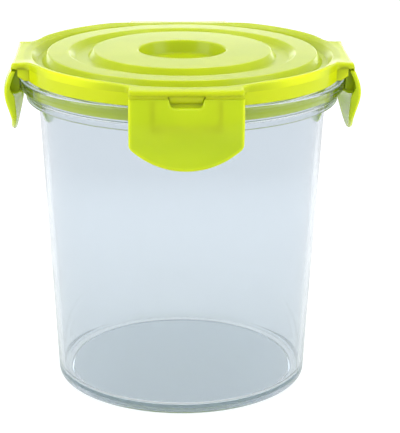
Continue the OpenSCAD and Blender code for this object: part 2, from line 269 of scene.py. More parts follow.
def mesh_object(name, bm, material):
    """A scene object from a bmesh in millimetres, smooth shaded with its flats kept flat."""
    bmesh.ops.scale(bm, vec=(MM, MM, MM), verts=bm.verts)
    bmesh.ops.recalc_face_normals(bm, faces=bm.faces)
    mesh = bpy.data.meshes.new(name)
    bm.to_mesh(mesh)
    bm.free()
    mesh.shade_smooth()
    piece = bpy.data.objects.new(name, mesh)
    bpy.context.scene.collection.objects.link(piece)
    mesh.materials.append(material)
    normals = piece.modifiers.new("flats", "WEIGHTED_NORMAL")
    normals.weight = 80
    return piece


def strip(bm, a, b):
    """Quads all the way round between two rings of as many points."""
    for i in range(len(a)):
        j = (i + 1) % len(a)
        bm.faces.new((a[i], a[j], b[j], b[i]))


def skin(bm, rings, pole_first=None, pole_last=None, closed=False):
    """Quads between rings of as many points each, with a fan to each pole that is given."""
    rows = [[bm.verts.new(p) for p in ring] for ring in rings]
    count = len(rows[0])
    pairs = list(zip(rows, rows[1:]))
    if closed:
        pairs.append((rows[-1], rows[0]))
    for a, b in pairs:
        strip(bm, a, b)
    for pole, row in ((pole_first, rows[0]), (pole_last, rows[-1])):
        if pole is not None:
            tip = bm.verts.new(pole)
            for i in range(count):
                bm.faces.new((row[i], row[(i + 1) % count], tip))
    bmesh.ops.remove_doubles(bm, verts=bm.verts, dist=SAME_POINT)
    bmesh.ops.dissolve_degenerate(bm, edges=bm.edges, dist=NO_LENGTH)


def circle(radius, z, angles):
    """Points at the angles on a level circle about the axis."""
    return [(radius * math.cos(a), radius * math.sin(a), z) for a in angles]


def lathe(profile, count=288):
    """A bmesh turned from a profile of (radius, z); its ends lie on the axis, or else it is closed."""
    bm = bmesh.new()
    angles = [2 * math.pi * i / count for i in range(count)]
    on_axis = profile[0].x == 0
    turned = profile[1:-1] if on_axis else profile
    rings = [circle(p.x, p.y, angles) for p in turned]
    if on_axis:
        skin(bm, rings, (0, 0, profile[0].y), (0, 0, profile[-1].y))
    else:
        skin(bm, rings, closed=True)
    return bm


def quarter_steps(count):
    """Share of a rounded edge's inset and drop at each step round it, from flat to upright."""
    angles = [math.pi / 2 * k / count for k in range(count + 1)]
    return [(1 - math.sin(a), 1 - math.cos(a)) for a in angles]


def prism(bm, outline, x0, x1, edge=0.25):
    """Adds a bar along x over an anticlockwise outline of (distance out, z), with rounded ends."""
    normals = outward(outline)
    ends = [(x0 + edge * drop, edge * inset) for inset, drop in quarter_steps(3)[::-1]]
    ends = ends[::-1] + [(x1 - (x - x0), inset) for x, inset in ends]
    rows = []
    for x, inset in ends:
        inner = [p - n * inset for p, n in zip(outline, normals)]
        rows.append([bm.verts.new((x, -p.x, p.y)) for p in inner])
    for a, b in zip(rows, rows[1:]):
        strip(bm, a, b)
    bm.faces.new(rows[0][::-1])
    bm.faces.new(rows[-1])


def turn_about_axis(bm, angle):
    """Turns what stands in the front clip's place to the side at the angle."""
    turn = Matrix.Rotation(math.radians(angle), 4, "Z")
    bmesh.ops.transform(bm, matrix=turn, verts=bm.verts)


def smooth_step(low, high, x):
    """0 up to low and 1 from high on, with an even curve between them."""
    s = min(1, max(0, (x - low) / (high - low)))
    return s * s * (3 - 2 * s)


def add_painted_light(piece, rule):
    """Stores how much painted light brightens each point's colour, from 0 to 1, in place of light
    through the plastic's edges.
    """
    glow = piece.data.attributes.new("painted_light_share", "FLOAT", "POINT")
    for vertex, value in zip(piece.data.vertices, glow.data):
        value.value = rule(vertex.co / MM)


# Materials, with their lengths in metres

def linear(*srgb):
    """A colour that is written as 0 to 255, as Blender's linear values."""
    values = [c / 255 for c in srgb]
    return [c / 12.92 if c <= 0.04045 else ((c + 0.055) / 1.055) ** 2.4 for c in values] + [1]


class Nodes:
    """Adds nodes to a new material's tree in few words."""

    def __init__(self, name=None, tree=None):
        if tree is None:
            self.material = bpy.data.materials.new(name)
            self.material.use_nodes = True
            tree = self.material.node_tree
        self.tree = tree
        self.tree.nodes.clear()

    def add(self, kind, inputs=(), **settings):
        """A node with its settings, whose inputs are values or other nodes' sockets."""
        node = self.tree.nodes.new(kind)
        for key, value in settings.items():
            setattr(node, key, value)
        for key, value in dict(inputs).items():
            if isinstance(value, bpy.types.NodeSocket):
                self.tree.links.new(value, node.inputs[key])
            else:
                node.inputs[key].default_value = value
        return node

    def calc(self, operation, a, b):
        """Result of a mathematical operation on two values."""
        return self.add("ShaderNodeMath", {0: a, 1: b}, operation=operation).outputs[0]

    def noise(self, size_mm, detail=2):
        """Soft noise, from 0 to 1, with spots of about the size."""
        place = self.add("ShaderNodeTexCoord").outputs["Object"]
        return self.add("ShaderNodeTexNoise", {
            "Vector": place, "Scale": 1 / (size_mm * MM), "Detail": detail, "Roughness": 0.5,
        }).outputs["Fac"]

    def ramp(self, value, low, high, to_low, to_high):
        """The value, stretched from one range to another and held at its ends."""
        return self.add("ShaderNodeMapRange", {
            "Value": value, "From Min": low, "From Max": high, "To Min": to_low, "To Max": to_high,
        }).outputs["Result"]

    def mix(self, factor, a, b):
        """A colour between a and b."""
        return self.add("ShaderNodeMix", {0: factor, 6: a, 7: b}, data_type="RGBA").outputs[2]


PAINTED_LIGHT_LIME = (236, 250, 10)
GRAIN_BUMP = 0.0001
TRAPPED_DEPTH = 4.5


def lime_plastic(name, tone, second_tone):
    """Dyed, slightly translucent moulded plastic, with painted light: paler and warmer where a stored
    share paints light in at edges and thin places.
    """
    n = Nodes(name)
    edge = n.add("ShaderNodeAttribute", attribute_name="painted_light_share").outputs["Fac"]
    cloud = n.ramp(n.noise(22), 0.35, 0.65, 0, 1)
    body = n.mix(cloud, linear(*tone), linear(*second_tone))
    # Painted light: the stored share pales the colour towards a bright lime.
    colour = n.mix(edge, body, linear(*PAINTED_LIGHT_LIME))
    fine = n.noise(0.35, detail=3)
    soft = n.noise(14)
    grain = n.add("ShaderNodeBump", {"Height": fine, "Strength": 0.02, "Distance": GRAIN_BUMP})
    waves = n.add("ShaderNodeBump", {
        "Height": soft, "Strength": 0.12, "Distance": 0.0006, "Normal": grain.outputs["Normal"],
    })
    shader = n.add("ShaderNodeBsdfPrincipled", {
        "Base Color": colour,
        "Roughness": n.ramp(n.noise(1.2), 0.3, 0.7, 0.2, 0.26),
        "IOR": 1.36,
        "Subsurface Weight": 0.6,
        "Subsurface Radius": (1.0, 0.9, 0.25),
        "Subsurface Scale": 0.005,
        "Normal": waves.outputs["Normal"],
    })
    n.add("ShaderNodeOutputMaterial", {"Surface": shader.outputs["BSDF"]})
    return n.material


def clear_plastic():
    """Clear moulded plastic with a faint cold tint that deepens where the light runs along the wall.

    Shadows, diffuse light and rays that are trapped between the walls pass straight through.
    """
    n = Nodes("clear_plastic")
    waves = n.add("ShaderNodeBump", {"Height": n.noise(30), "Strength": 0.1, "Distance": 0.0008})
    shader = n.add("ShaderNodeBsdfPrincipled", {
        "Base Color": linear(221, 226, 230),
        "Roughness": n.ramp(n.noise(4), 0.3, 0.7, 0.01, 0.04),
        "IOR": 1.5,
        "Transmission Weight": 1.0,
        "Normal": waves.outputs["Normal"],
    })
    let_through = n.add("ShaderNodeBsdfTransparent", {"Color": linear(240, 244, 246)})
    rays = n.add("ShaderNodeLightPath").outputs
    lit = n.calc("MAXIMUM", rays["Is Shadow Ray"], rays["Is Diffuse Ray"])
    trapped = n.calc("GREATER_THAN", rays["Ray Depth"], TRAPPED_DEPTH)
    passed = n.calc("MAXIMUM", lit, trapped)
    both = n.add("ShaderNodeMixShader", {0: passed, 1: shader.outputs[0], 2: let_through.outputs[0]})
    tint = n.add("ShaderNodeVolumeAbsorption", {"Color": linear(184, 196, 206), "Density": 8.0})
    n.add("ShaderNodeOutputMaterial", {"Surface": both.outputs[0], "Volume": tint.outputs["Volume"]})
    return n.material


def milky_silicone():
    """Pale, soft and slightly translucent rubber."""
    n = Nodes("milky_silicone")
    fine = n.noise(0.5, detail=3)
    grain = n.add("ShaderNodeBump", {"Height": fine, "Strength": 0.2, "Distance": GRAIN_BUMP})
    shader = n.add("ShaderNodeBsdfPrincipled", {
        "Base Color": n.mix(n.noise(5), linear(226, 232, 222), linear(238, 241, 234)),
        "Roughness": 0.5,
        "Subsurface Weight": 0.4,
        "Subsurface Radius": (1.0, 1.0, 1.0),
        "Subsurface Scale": 0.002,
        "Normal": grain.outputs["Normal"],
    })
    n.add("ShaderNodeOutputMaterial", {"Surface": shader.outputs["BSDF"]})
    return n.material


LID_LIME = lime_plastic("lid_lime", (182, 198, 16), (188, 203, 20))
CLIP_LIME = lime_plastic("clip_lime", (192, 214, 22), (198, 219, 26))
CLEAR = clear_plastic()
SILICONE = milky_silicone()


# Container, turned from one profile

def container_profile():
    """Half section of the container, from the middle of its base round to the middle of its floor."""
    wall_in = WALL_T / math.cos(math.atan(LEAN))
    foot_r = wall_r(BASE_ROUND) - BASE_ROUND - FOOT_W
    wall_top = COLLAR_Z - 1
    base = [
        (0, FOOT_H, 0), (foot_r - FOOT_H, FOOT_H, EDGE_ROUND), (foot_r, 0, 0.4),
        (wall_r(0), 0, BASE_ROUND),
    ]
    collar = [
        (wall_r(wall_top), wall_top, COLLAR_FILLET),
        (wall_r(COLLAR_Z) + COLLAR_FILLET, COLLAR_Z, 0.6), (COLLAR_R, COLLAR_Z, 0.6),
        (COLLAR_TOP_R, FLANGE_Z, FINE_ROUND), (FLANGE_R, FLANGE_Z, EDGE_ROUND),
        (FLANGE_R, FLANGE_TOP, FLANGE_ROUND), (LIP_R, FLANGE_TOP, FINE_ROUND),
        (LIP_R, RIM_Z, EDGE_ROUND), (MOUTH_R, RIM_Z, EDGE_ROUND),
    ]
    inside = [
        (MOUTH_R, LEDGE_Z, LEDGE_ROUND), (wall_r(LEDGE_Z) - wall_in, LEDGE_Z, COLLAR_FILLET),
        (wall_r(FLOOR_Z) - wall_in, FLOOR_Z, FLOOR_ROUND), (0, FLOOR_Z, 0),
    ]
    return rounded(base + collar + inside, closed=False)


def make_container():
    """The container, clear all over."""
    piece = mesh_object("container_shell", lathe(container_profile()), CLEAR)
    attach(piece, "container")
    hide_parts("container")


# Lid, one skin from the middle of its top over the rim and tabs to the middle of its underside

def lid_quarter():
    """Plan points of a quarter of the lid's edge, round the front tab."""
    fillet_x = HALF_W + TAB_FILLET
    fillet_d = math.sqrt((SKIRT_R + TAB_FILLET) ** 2 - fillet_x ** 2)
    turn = math.degrees(math.atan2(fillet_d, fillet_x))
    corner_x = HALF_W - TAB_CORNER
    corner_d = HINGE_D - TAB_CORNER
    half = [Vector((corner_x * i / 12, HINGE_D)) for i in range(12)]
    half += arc(corner_x, corner_d, TAB_CORNER, 90, 0, 5)
    half += [Vector((HALF_W, fillet_d + (corner_d - fillet_d) * s)) for s in (0.66, 0.33)]
    half += arc(fillet_x, fillet_d, TAB_FILLET, 180, 180 + turn, 8)
    half += arc(0, 0, SKIRT_R, turn, 45, 12)[1:-1]
    mirrored = [Vector((-p.x, p.y)) for p in reversed(half[1:])]
    return [Vector((p.x, -p.y)) for p in mirrored + half]


def lid_outline():
    """Plan outline of the whole lid."""
    quarter = lid_quarter()
    turns = [Matrix.Rotation(math.radians(angle), 2) for angle in SIDES.values()]
    return [turn @ p for turn in turns for p in quarter]


def rim_rise(p):
    """Height of the rim's crest above the tabs at the plan point p: it dips in front of each tab."""
    around = math.degrees(math.atan2(p.y, p.x)) % 90
    share = smooth_step(RIM_DIP_HALF_ANGLE, RIM_FULL_ANGLE, min(around, 90 - around))
    return RIM_LOW + (RIM_RISE - RIM_LOW) * share


def tab_share(p):
    """0 on the round of the skirt and 1 on a tab, at the plan point p of the lid's outline."""
    return smooth_step(0, TAB_BLEND, p.length - SKIRT_R)


def edge_height(p):
    """Height above the tabs of the lid's top where its edge starts to round off."""
    side = min(abs(p.x), abs(p.y))
    lift = TAB_LIFT * (side / HALF_W) ** 2
    share = tab_share(p)
    return rim_rise(p) * (1 - share) + lift * share


def edge_radius(p, normal):
    """Radius of the lid's top edge at the plan point p: largest along the end of a tab."""
    ahead = abs(normal.y) if abs(p.y) > abs(p.x) else abs(normal.x)
    at_end = smooth_step(0.75, 1, ahead) * smooth_step(1, 2, p.length - SKIRT_R)
    return RIM_ROUND + (TAB_ROUND - RIM_ROUND) * at_end


def lid_edge_rings():
    """Rings from the rim's crest out over the tabs and down the rounded edge to the tabs' underside."""
    outline = lid_outline()
    normals = outward(outline)
    reach = [edge_radius(p, n) for p, n in zip(outline, normals)]
    start = [p - n * r for p, n, r in zip(outline, normals, reach)]
    crest = [p.normalized() * CREST_R for p in outline]
    rings = []
    for s in (0.33, 0.66):
        rings.append([
            (*c.lerp(q, s), LID_Z + rim_rise(p) * (1 - s) + edge_height(p) * s)
            for c, q, p in zip(crest, start, outline)
        ])
    for inset, drop in quarter_steps(7):
        rings.append([
            (*(p - n * r * inset), LID_Z + edge_height(p) - r * drop)
            for p, n, r in zip(outline, normals, reach)
        ])
    for inset, drop in quarter_steps(3):
        shares = [HINGE_ROUND * drop * tab_share(p) for p in outline]
        z = TAB_Z + HINGE_ROUND * inset
        rings.append([(*(p - n * step), z) for p, n, step in zip(outline, normals, shares)])
    return rings


def mitre(run, rise):
    """How far a corner shifts on the inside of a sloped wall as thick as the lid."""
    return LID_T * math.tan(math.atan2(rise, run) / 2)


def lid_top():
    """Profile of the lid's outer face, from its middle to the foot of the rim."""
    return rounded([
        (0, DISH_Z, 0), (DISH_R - DISH_WALL, DISH_Z, 1.4), (DISH_R, PANEL_Z, TOP_ROUND),
        (PANEL_R, PANEL_Z, TOP_ROUND), (PANEL_R + PANEL_SLOPE, INNER_GROOVE_Z, TOP_ROUND),
        (RING_IN_R - RING_INNER_SLOPE, INNER_GROOVE_Z, 1.2), (RING_IN_R, RING_Z, 1.4),
        (RING_OUT_R, RING_Z, TOP_ROUND), (GROOVE_IN_R, GROOVE_Z, 0.6), (GROOVE_OUT_R, GROOVE_Z, 0.6),
        (RIM_IN_R, LID_Z, 0.8), (CREST_R, LID_Z, 0),
    ], closed=False)


def lid_under():
    """Profile of the lid's underside, from the tabs' roots over skirt and plug to its middle."""
    ring_shift = mitre(RING_SLOPE, RING_Z - GROOVE_Z)
    inner_shift = mitre(RING_INNER_SLOPE, RING_Z - INNER_GROOVE_Z)
    panel_shift = mitre(PANEL_SLOPE, INNER_GROOVE_DEPTH)
    dish_shift = mitre(DISH_WALL, DISH_DEPTH)
    return rounded([
        (SKIRT_R, TAB_Z, 0), (SKIRT_R, SKIRT_Z, EDGE_ROUND), (SKIRT_IN_R, SKIRT_Z, 0.4),
        (SKIRT_IN_R, CHANNEL_Z, 0.2), (PLUG_R, CHANNEL_Z, 0.2), (PLUG_R, PLUG_Z, 0.6),
        (PLUG_IN_R, PLUG_Z, 0.6), (PLUG_IN_R, GROOVE_Z - LID_T, 0.6),
        (GROOVE_IN_R - ring_shift, GROOVE_Z - LID_T, UNDER_ROUND),
        (RING_OUT_R - ring_shift, RING_Z - LID_T, UNDER_ROUND),
        (RING_IN_R + inner_shift, RING_Z - LID_T, UNDER_ROUND),
        (RING_IN_R - RING_INNER_SLOPE + inner_shift, INNER_GROOVE_Z - LID_T, UNDER_ROUND),
        (PANEL_R + PANEL_SLOPE - panel_shift, INNER_GROOVE_Z - LID_T, UNDER_ROUND),
        (PANEL_R - panel_shift, PANEL_Z - LID_T, UNDER_ROUND),
        (DISH_R + dish_shift, PANEL_Z - LID_T, UNDER_ROUND),
        (DISH_R - DISH_WALL + dish_shift, DISH_Z - LID_T, UNDER_ROUND), (0, DISH_Z - LID_T, 0),
    ], closed=False)


def lid_skin(bm):
    """Adds the lid's moulding as rings from the middle of its top to the middle of its underside."""
    outline = lid_outline()
    angles = [math.atan2(p.y, p.x) for p in outline]
    top = lid_top()[1:]
    rings = [circle(p.x, p.y, angles) for p in top]
    foot = top[-2].x
    rings.pop()
    for share in (0.25, 0.5, 0.75, 1):
        radius = foot + (CREST_R - foot) * share
        lift = math.sin(math.pi / 2 * share)
        rings.append([
            (radius * math.cos(a), radius * math.sin(a), LID_Z + lift * rim_rise(p))
            for a, p in zip(angles, outline)
        ])
    rings += lid_edge_rings()
    rings += [circle(p.x, p.y, angles) for p in lid_under()[:-1]]
    skin(bm, rings, (0, 0, DISH_Z), (0, 0, DISH_Z - LID_T))


def tongue_outline():
    """Section of the tongue: its face leads the tab's face down behind the flap's window."""
    low_z = SKIRT_Z + TONGUE_RAISE
    high_z = TAB_Z + TONGUE_RAISE
    front = []
    for i in range(13):
        s = i / 12
        back = TONGUE_BACK + TONGUE_LEAN * s ** 0.8
        front.append(Vector((HINGE_D - back, high_z + (low_z - high_z) * s)))
    return front[::-1] + [Vector((p.x - TONGUE_T, p.y)) for p in front]


def plate_outline():
    """Section of the plate that closes the view past the tongue, just behind the flap."""
    low_z = SKIRT_Z + FITTING_SINK
    high_z = TAB_Z + FITTING_SINK
    heights = [low_z + (high_z - low_z) * i / 8 for i in range(9)]
    edge_x = WINDOW_HALF + PLATE_PAST
    front = [Vector((flap_back_d(edge_x, min(z, FLAP_TOP)) - PLATE_BACK, z)) for z in heights]
    return front + [Vector((p.x - TONGUE_T, p.y)) for p in reversed(front)]


def cheek_outline():
    """Section of a cheek, a small wall under the tab that closes the view past the clip's rib."""
    root_d = SKIRT_AT_RIB - FITTING_SINK
    low_z = SKIRT_Z + FITTING_SINK
    high_z = TAB_Z + FITTING_SINK
    tip_d = RIB_D + CHEEK_PAST
    return [Vector(p) for p in ((root_d, low_z), (tip_d, low_z), (tip_d, high_z), (root_d, high_z))]


def gusset_outline():
    """Section of a gusset, which props the tab's side off the skirt."""
    root_d = math.sqrt(SKIRT_R ** 2 - GUSSET_X ** 2) - GUSSET_SINK
    low_z = SKIRT_Z + FITTING_SINK
    high_z = TAB_Z + GUSSET_SINK
    return [Vector(p) for p in (
        (root_d, low_z), (root_d + GUSSET_FOOT, low_z), (GUSSET_D, low_z + GUSSET_FOOT_H),
        (GUSSET_D, high_z), (root_d, high_z),
    )]


def front_tab_fittings():
    """What is under the front tab: tongue and plate, which show in the window, cheeks and gussets."""
    fittings = bmesh.new()
    half = WINDOW_HALF - WINDOW_TAPER - TONGUE_GAP
    prism(fittings, tongue_outline(), -half, half)
    for vertex in fittings.verts:
        vertex.co.x *= 1 + WINDOW_TAPER / half * (vertex.co.z - HINGE_Z + WINDOW_H) / WINDOW_H
    prism(fittings, plate_outline(), -WINDOW_HALF - PLATE_PAST, WINDOW_HALF + PLATE_PAST)
    cheek = cheek_outline()
    prism(fittings, cheek, RIB_X - CHEEK_GAP - CHEEK_T, RIB_X - CHEEK_GAP)
    prism(fittings, cheek, CHEEK_GAP - RIB_X, CHEEK_GAP + CHEEK_T - RIB_X)
    gusset = gusset_outline()
    prism(fittings, gusset, GUSSET_X, GUSSET_X + GUSSET_T, edge=GUSSET_ROUND)
    prism(fittings, gusset, -GUSSET_X - GUSSET_T, -GUSSET_X, edge=GUSSET_ROUND)
    return fittings


def tab_fittings(bm):
    """Adds the fittings under each tab."""
    for angle in SIDES.values():
        fittings = front_tab_fittings()
        turn_about_axis(fittings, angle)
        part = bpy.data.meshes.new("fittings")
        fittings.to_mesh(part)
        fittings.free()
        bm.from_mesh(part)
        bpy.data.meshes.remove(part)


def make_lid():
    """The lid's moulding in one piece, without its clips."""
    bm = bmesh.new()
    lid_skin(bm)
    tab_fittings(bm)
    piece = mesh_object("lid_shell", bm, LID_LIME)
    add_painted_light(piece, lid_painted_light)
    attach(piece, "lid")
    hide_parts("lid")


# Shares of painted light in the colour of the thin places, in place of light through the plastic
PLUG_PAINTED_LIGHT = 0.6
FITTING_PAINTED_LIGHT = 0.6
SKIRT_PAINTED_LIGHT = 0.25
FLAP_PAINTED_LIGHT = 0.5
WEB_PAINTED_LIGHT = 0.6


def lid_painted_light(p):
    """Painted light on the thin skirt and plug and on the fittings under the tabs; on the skirt it is
    brightest halfway between two tabs, where the side lamps light it.
    """
    around = math.degrees(math.atan2(p.y, p.x)) % 90
    between = 1 - abs(around - 45) / 45
    on_skirt = smooth_step(SKIRT_R - 1.2, SKIRT_R - 0.1, math.hypot(p.x, p.y))
    if PLUG_Z - 1 < p.z < GROOVE_Z - LID_T and on_skirt == 0:
        return PLUG_PAINTED_LIGHT
    aside = min(abs(p.x), abs(p.y))
    if p.z < TAB_Z and on_skirt > 0 and (aside > GUSSET_X - 0.1 or aside < WINDOW_HALF):
        return FITTING_PAINTED_LIGHT
    return on_skirt * (SKIRT_PAINTED_LIGHT + (1 - SKIRT_PAINTED_LIGHT) * smooth_step(0.5, 0.95, between))


# Gasket in the lid's channel

def make_gasket():
    """The silicone ring, rounded where it seals on the container's rim."""
    low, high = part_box("gasket")
    inner_r = PLUG_R + 0.1
    profile = rounded([
        (inner_r, high.z / MM, 0.1), (inner_r, low.z / MM, 0.9),
        (high.x / MM, low.z / MM, 0.9), (high.x / MM, high.z / MM, 0.1),
    ])
    piece = mesh_object("gasket_ring", lathe(profile), SILICONE)
    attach(piece, "lid")
    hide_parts("gasket")


# Clips, each a curved flap with a window, a catch behind it and a film hinge above it

def swell(t):
    """Share of the flap's bulge at the depth t below the hinge line."""
    if t < FLAP_PEAK:
        return math.sin(math.pi / 2 * t / FLAP_PEAK)
    if t < FLAP_PEAK + FLAP_FALL:
        return (1 + math.cos(math.pi * (t - FLAP_PEAK) / FLAP_FALL)) / 2
    return 0


def flap_d(x, z):
    """Distance from the lid's axis plane of the flap's outer face at (x, z)."""
    t = HINGE_Z - z
    bow = FLAP_BOW * smooth_step(0, BOW_RAMP, t) * (1 - (x / HALF_W) ** 2)
    return HINGE_D + FLAP_BULGE * swell(t) + bow


def flap_back_d(x, z):
    """Distance of the flap's inner face, which comes closer along the sides and thins to the tip."""
    t = HINGE_Z - z
    thick = FLAP_T - FLAP_TIP_THIN * smooth_step(FLAP_THIN_FROM, FLAP_LEN, t)
    at_side = smooth_step(HALF_W - FLAP_SIDE_W - 1, HALF_W - FLAP_SIDE_W + 0.5, abs(x))
    side = FLAP_SIDE_DEEP * swell(t) * smooth_step(FLAP_SIDE_FROM, FLAP_SIDE_FULL, t)
    return flap_d(x, z) - thick - side * at_side


def flap_end_z(x):
    """Height of the flap's lower edge at the distance x from its middle."""
    arc_z = HINGE_Z - FLAP_LEN + FLAP_ARC_R
    corner_x = HALF_W - FLAP_CORNER
    corner_z = arc_z - math.sqrt((FLAP_ARC_R - FLAP_CORNER) ** 2 - corner_x ** 2)
    if abs(x) < corner_x * FLAP_ARC_R / (FLAP_ARC_R - FLAP_CORNER):
        return arc_z - math.sqrt(FLAP_ARC_R ** 2 - x ** 2)
    return corner_z - math.sqrt(max(0, FLAP_CORNER ** 2 - (abs(x) - corner_x) ** 2))


def window_side():
    """The window's outline from its lowest middle to the flap's top edge, for x above 0."""
    low_x = WINDOW_HALF - WINDOW_TAPER
    low_z = HINGE_Z - WINDOW_H
    return rounded([
        (0, low_z, 0), (low_x, low_z, WINDOW_ROUND), (WINDOW_HALF, FLAP_TOP, 0.3),
        (WINDOW_HALF + 1, FLAP_TOP, 0),
    ], closed=False)


def flap_top_z(x):
    """Height of the flap's upper edge at the distance x from its middle."""
    side = window_side()
    for a, b in zip(side, side[1:]):
        if a.x <= abs(x) <= b.x:
            return a.y + (b.y - a.y) * (abs(x) - a.x) / max(b.x - a.x, 1e-6)
    return FLAP_TOP


def spread(low, high, cell):
    """Places from low up to but without high, about a cell apart."""
    count = max(1, math.ceil((high - low) / cell))
    return [low + (high - low) * i / count for i in range(count)]


# Spacing of the flap's points: cells across it, rows down it, and steps round its edges
CELL = 1.2
CORNER_CELL = 0.4
WINDOW_CELL = 0.14
ROWS = 26
RIM_STEPS = 6


def flap_columns():
    """Places of the flap's columns of points, close together along its sides and the window's."""
    low_x = WINDOW_HALF - WINDOW_TAPER - WINDOW_ROUND
    high_x = WINDOW_HALF + 0.4
    rim = [HALF_W - FLAP_ROUND * drop for _, drop in quarter_steps(RIM_STEPS)]
    half = spread(0, low_x, CELL) + spread(low_x, high_x, WINDOW_CELL)
    half += spread(high_x, HALF_W - FLAP_CORNER, CELL)
    half += spread(HALF_W - FLAP_CORNER, rim[-1], CORNER_CELL) + rim[::-1]
    return [-x for x in reversed(half[1:])] + half


def gap_to(outline, p):
    """Distance from p to the nearest stretch of an open outline."""
    best = math.inf
    for a, b in zip(outline, outline[1:]):
        along = b - a
        s = min(1, max(0, (p - a).dot(along) / along.length_squared))
        best = min(best, (a + along * s - p).length)
    return best


def flap_borders(columns):
    """The flap's outline as two open stretches: sides with lower edge, and upper edge with window."""
    top_left = Vector((-HALF_W, FLAP_TOP))
    top_right = Vector((HALF_W, FLAP_TOP))
    ends = [Vector((x, flap_end_z(x))) for x in columns]
    side = window_side()[1:-1]
    notch = [Vector((-p.x, p.y)) for p in reversed(side)] + side
    return [top_left, *ends, top_right], [top_right, *reversed(notch), top_left]


def flap_heights(x):
    """Heights of the points in the flap's column at x, close together at its two ends."""
    rim = [FLAP_ROUND * drop for _, drop in quarter_steps(RIM_STEPS)]
    low = flap_end_z(x)
    high = flap_top_z(x)
    inner = spread(low + rim[-1], high - rim[-1], (high - low - 2 * rim[-1]) / ROWS)[1:]
    return [low + s for s in rim] + inner + [high - s for s in reversed(rim)]


def flap_grid():
    """Columns of flap points as (x, z, distance from the nearest edge)."""
    columns = flap_columns()
    around, above = flap_borders(columns)
    grid = []
    for x in columns:
        points = [Vector((x, z)) for z in flap_heights(x)]
        gaps = [min(gap_to(around, p), gap_to(above, p)) for p in points]
        gaps[0] = gaps[-1] = 0
        if abs(x) == HALF_W:
            gaps = [0] * len(points)
        grid.append([(p.x, p.y, gap) for p, gap in zip(points, gaps)])
    return grid


def edge_drop(radius, gap):
    """How far a face falls away at the distance gap from an edge that is rounded by the radius."""
    inside = max(0, radius - gap)
    return radius - math.sqrt(radius ** 2 - inside ** 2)


def outer_y(x, z, gap):
    """Place along y of the front flap's outer face, with its rounded edge."""
    radius = HINGE_ROUND + (FLAP_ROUND - HINGE_ROUND) * smooth_step(0, 3, FLAP_TOP - z)
    return edge_drop(radius, gap) - flap_d(x, z)


def inner_y(x, z, gap):
    """Place along y of the front flap's inner face, whose edge is rounder towards the tip."""
    at_tip = smooth_step(FLAP_TIP_ROUND_FROM, FLAP_TIP_ROUND_FULL, HINGE_Z - z)
    radius = HINGE_ROUND + (FLAP_TIP_ROUND - HINGE_ROUND) * at_tip
    return -flap_back_d(x, z) - edge_drop(radius, gap)


def around_grid(grid):
    """The points round the border of a grid of columns, in order."""
    return [c[0] for c in grid] + grid[-1][1:] + [c[-1] for c in grid[-2::-1]] + grid[0][-2:0:-1]


def flap_skin(bm):
    """Adds the flap as two grids of points, outer and inner face, closed along their borders."""
    places = flap_grid()
    faces = []
    for y_of in (outer_y, inner_y):
        grid = [[bm.verts.new((x, y_of(x, z, gap), z)) for x, z, gap in column] for column in places]
        for a, b in zip(grid, grid[1:]):
            for i in range(len(a) - 1):
                bm.faces.new((a[i], a[i + 1], b[i + 1], b[i]))
        faces.append(around_grid(grid))
    front, back = faces
    for i in range(len(front)):
        bm.faces.new((front[i - 1], front[i], back[i], back[i - 1]))


def catch_bar(bm):
    """Adds the catch behind the flap, a bar with a lip at its tip, and a rib up from each end."""
    root_d = FLANGE_R + CATCH_CLEAR
    tip_d = FLANGE_R - CATCH_BITE
    under_z = CATCH_Z - CATCH_H

    def back_d(z):
        """A place inside the flap's thickness, where catch and ribs end."""
        return flap_d(CATCH_W / 2, z) - FLAP_T / 4

    profile = rounded([
        (back_d(CATCH_Z), CATCH_Z, 0), (tip_d, CATCH_Z, FINE_ROUND),
        (tip_d, CATCH_Z - CATCH_TIP_H, FINE_ROUND),
        (root_d, under_z, 0.6), (back_d(under_z) - CATCH_PROP, under_z, 0.6),
        (back_d(under_z - CATCH_PROP), under_z - CATCH_PROP, 0),
    ], steps=3)
    prism(bm, profile, -CATCH_W / 2, CATCH_W / 2)
    low_z = CATCH_Z - CATCH_SINK
    high_z = HINGE_Z - RIB_TOP_GAP
    heights = [low_z + (high_z - low_z) * i / 8 for i in range(9)]
    rib = [Vector((RIB_D, heights[0]))] + [Vector((back_d(z), z)) for z in heights]
    rib.append(Vector((RIB_D, heights[-1])))
    prism(bm, rib, RIB_X, CATCH_W / 2)
    prism(bm, rib, -CATCH_W / 2, -RIB_X)


def flap_painted_light(p):
    """Painted light on the flap's outer edges; p is in the front clip's own place."""
    arc_z = HINGE_Z - FLAP_LEN + FLAP_ARC_R
    to_side = HALF_W - abs(p.x)
    to_bottom = FLAP_ARC_R - math.hypot(p.x, arc_z - p.z) if p.z < arc_z else FLAP_ARC_R
    behind = flap_d(p.x, p.z) + p.y
    at_edge = 1 - smooth_step(0.2, 1.8, min(to_side, to_bottom))
    return FLAP_PAINTED_LIGHT * at_edge * (1 - smooth_step(0.4, 1.4, behind))


def make_clip(side, angle):
    """A flap with its catch, made in the front clip's place and turned to its own side."""
    bm = bmesh.new()
    flap_skin(bm)
    catch_bar(bm)
    piece = mesh_object("clip_shell_" + side, bm, CLIP_LIME)
    add_painted_light(piece, flap_painted_light)
    piece.data.transform(Matrix.Rotation(math.radians(angle), 4, "Z"))
    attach(piece, "clip_" + side)
    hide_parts("clip_" + side, "catch_lip_" + side)


def web_rings(sign):
    """Rings down one web of the front hinge, thinner at its waist and sunk in tab and flap."""
    x0 = sign * (WINDOW_HALF + WEB_WINDOW_GAP)
    x1 = sign * (HALF_W - WEB_SIDE_GAP)
    tall = WEB_H + 2 * HINGE_ROUND
    rings = []
    for i in range(13):
        z = TAB_Z + HINGE_ROUND - tall * i / 12
        waist = WEB_WAIST * math.sin(math.pi * i / 12)
        front = WEB_RECESS - HINGE_D + waist
        back = WEB_RECESS - HINGE_D + WEB_T - waist
        rings.append([(x0, front, z), (x1, front, z), (x1, back, z), (x0, back, z)])
    return rings


